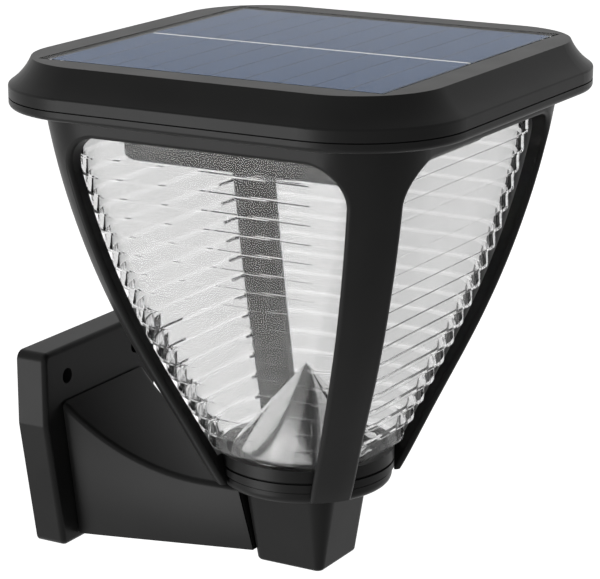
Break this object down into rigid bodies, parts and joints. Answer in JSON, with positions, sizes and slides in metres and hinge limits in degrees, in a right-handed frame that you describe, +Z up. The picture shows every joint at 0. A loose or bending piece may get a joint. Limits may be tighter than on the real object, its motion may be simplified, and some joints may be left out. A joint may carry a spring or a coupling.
{
  "type": "solar wall light",
  "caption": "Solar wall light: square lidded lantern tapering to a round foot, ribbed clear diffuser in a bowed post cage, mirrored cone inside, on an arm with a wall plate.",
  "frame": {"origin": "on the wall plane, midway between the wall plate's two screw holes", "axes": "+Z up, +Y into the wall, so the lantern stands out towards -Y; X along the wall"},
  "size_m": [0.15, 0.165, 0.1713],
  "materials": {
    "black_plastic": "satin, fine grain",
    "screw_steel": "plated",
    "cone_mirror": "metallised mirror",
    "clear_diffuser": "clear, prismatic outside",
    "seal_rubber": "soft",
    "panel_backing": "matt laminate",
    "cell_silicon": "dark blue silicon",
    "tinned_tab": "tinned",
    "panel_clear": "clear, gloss",
    "holder_plastic": "matt",
    "cell_wrap": "shrink wrap",
    "contact_metal": "nickel plated",
    "board_green": "solder mask",
    "part_black": "moulded",
    "button_rubber": "soft",
    "lamp_white": "white solder mask",
    "chip_yellow": "phosphor",
    "clear_cover": "clear",
    "lead_red": "insulated wire",
    "lead_white": "insulated wire"
  },
  "bodies": {
    "lantern": {"wall_bracket": "black_plastic", "socket": "black_plastic", "arm_screws": "screw_steel", "collar": "black_plastic", "collar_screws": "screw_steel", "reflector_cone": "cone_mirror", "cone_screw": "screw_steel", "cage": "black_plastic", "post_screws": "screw_steel", "diffuser": "clear_diffuser", "diffuser_seal": "seal_rubber"},
    "head": {"tray": "black_plastic", "head_seal": "seal_rubber", "head_screws": "screw_steel", "lid_shell": "black_plastic", "panel_board": "panel_backing", "solar_cells": "cell_silicon", "cell_tabs": "tinned_tab", "panel_cover": "panel_clear", "battery_holder": "holder_plastic", "battery_cell": "cell_wrap", "battery_contacts": "contact_metal", "control_board": "board_green", "board_parts": "part_black", "board_screws": "screw_steel", "switch_body": "part_black", "lamp_board": "lamp_white", "lamp_chips": "chip_yellow", "lamp_cover": "clear_cover", "lamp_screws": "screw_steel", "panel_leads": "lead_red", "lamp_leads": "lead_white", "battery_leads": "lead_red"},
    "button": {"switch_button": "button_rubber"}
  },
  "joints": [
    {"name": "head_lift", "type": "slide", "parent": "lantern", "child": "head", "axis": [0, 0, 1], "range_m": [0, 0.03]},
    {"name": "switch_press", "type": "slide", "parent": "head", "child": "button", "axis": [0, 0, 1], "range_m": [0, 0.0015], "stiffness_N_per_m": 400}
  ]
}
